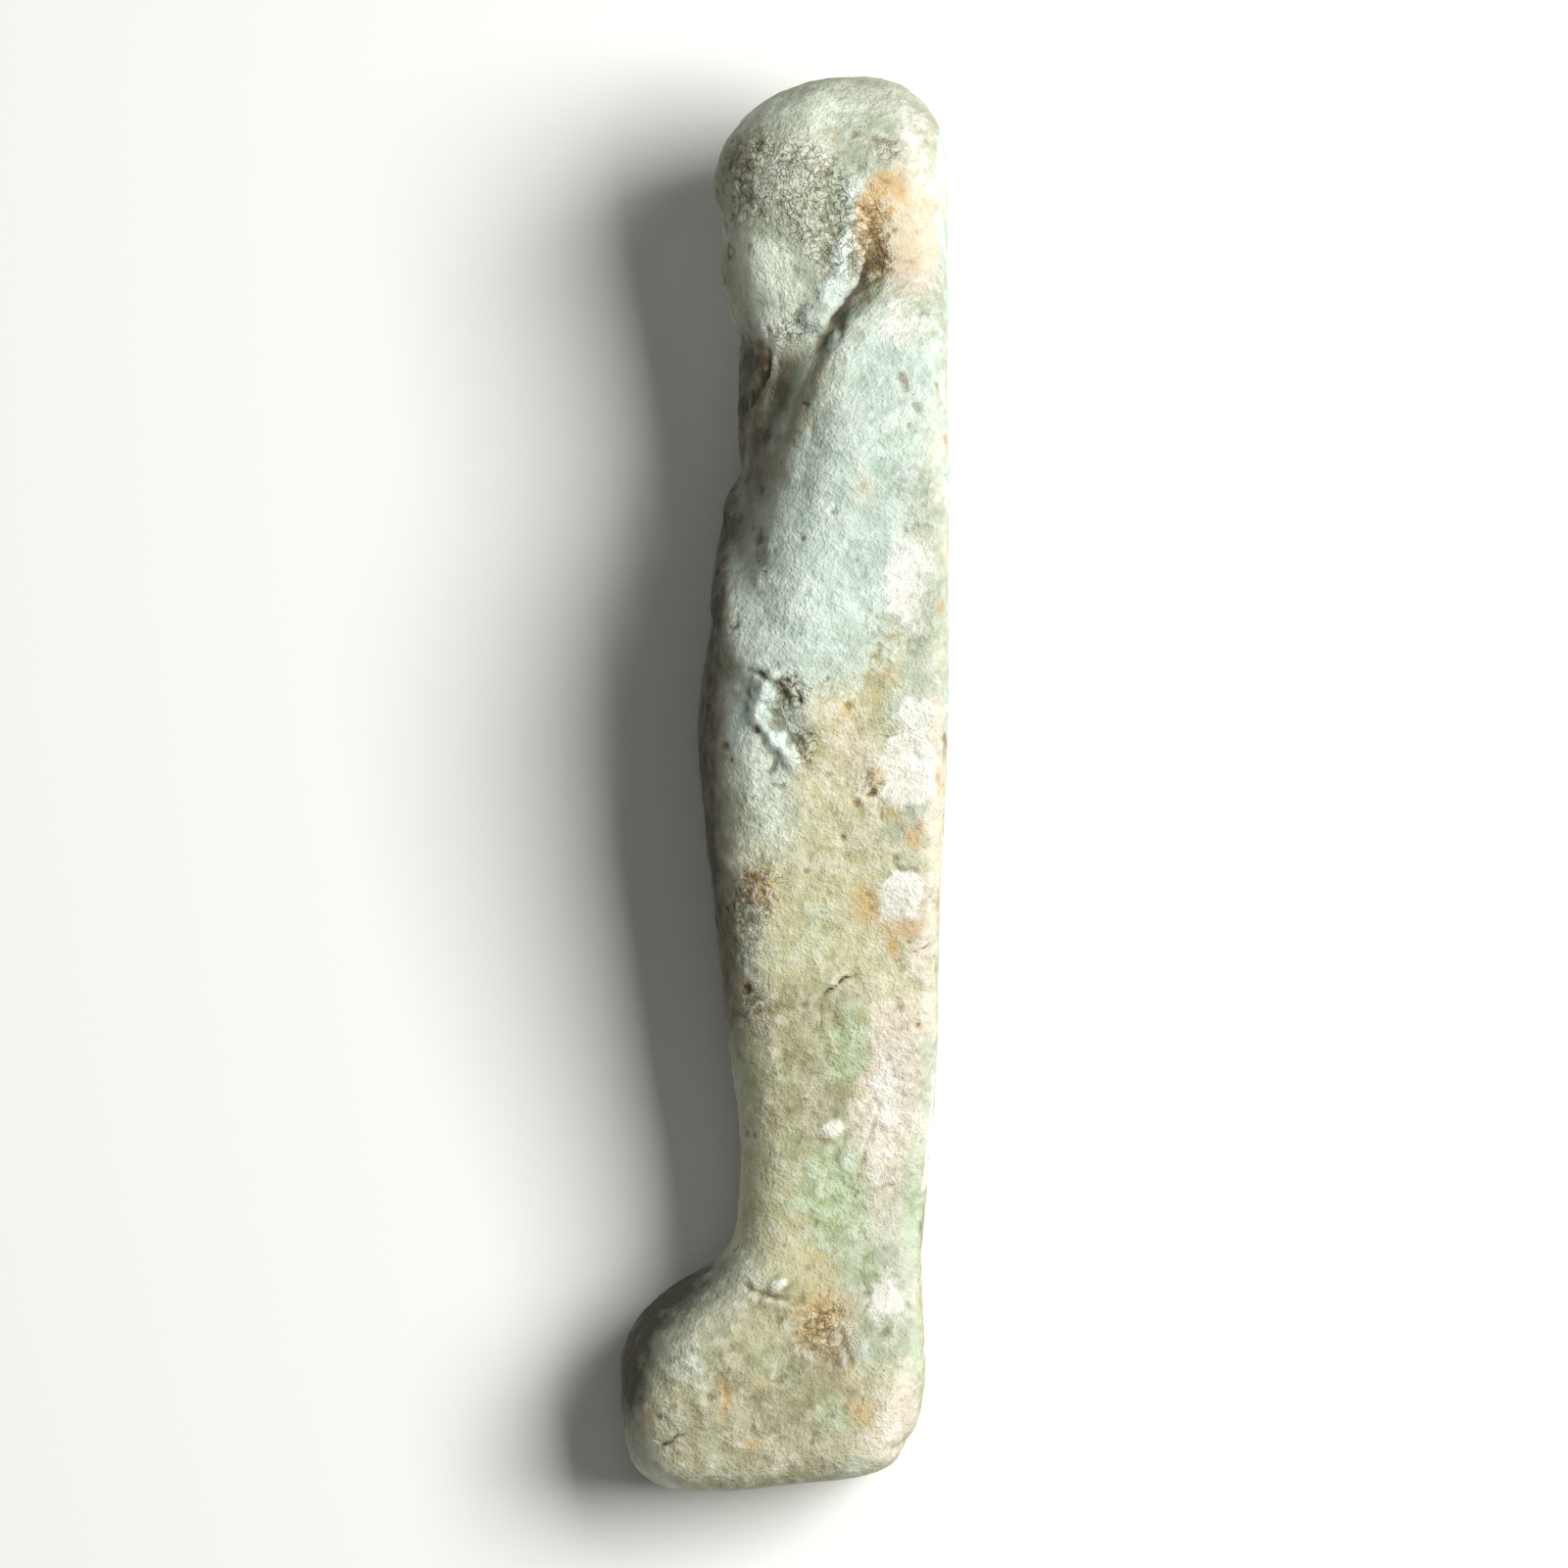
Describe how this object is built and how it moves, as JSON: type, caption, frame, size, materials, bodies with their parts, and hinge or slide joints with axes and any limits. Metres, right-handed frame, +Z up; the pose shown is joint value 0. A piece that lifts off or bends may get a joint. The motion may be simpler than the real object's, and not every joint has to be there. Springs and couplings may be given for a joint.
{
  "type": "ushabti figurine",
  "caption": "Small mummiform funerary figurine in worn pale green faience, with long wig, beard, crossed arms, flat back and projecting foot, lying on its side.",
  "frame": {"origin": "on the surface that the figure lies on, under the middle of its bounding box", "axes": "the figure lies on its right side: +Y runs from the sole towards the head, the face looks towards -X, the flat back faces +X, and +Z is up, towards the figure's left"},
  "size_m": [0.0208, 0.09, 0.023],
  "materials": {
    "faience": "matte, worn and gritty, pale green to cream with orange-brown earth stains"
  },
  "bodies": {
    "root": {"ushabti": "faience"}
  },
  "joints": []
}
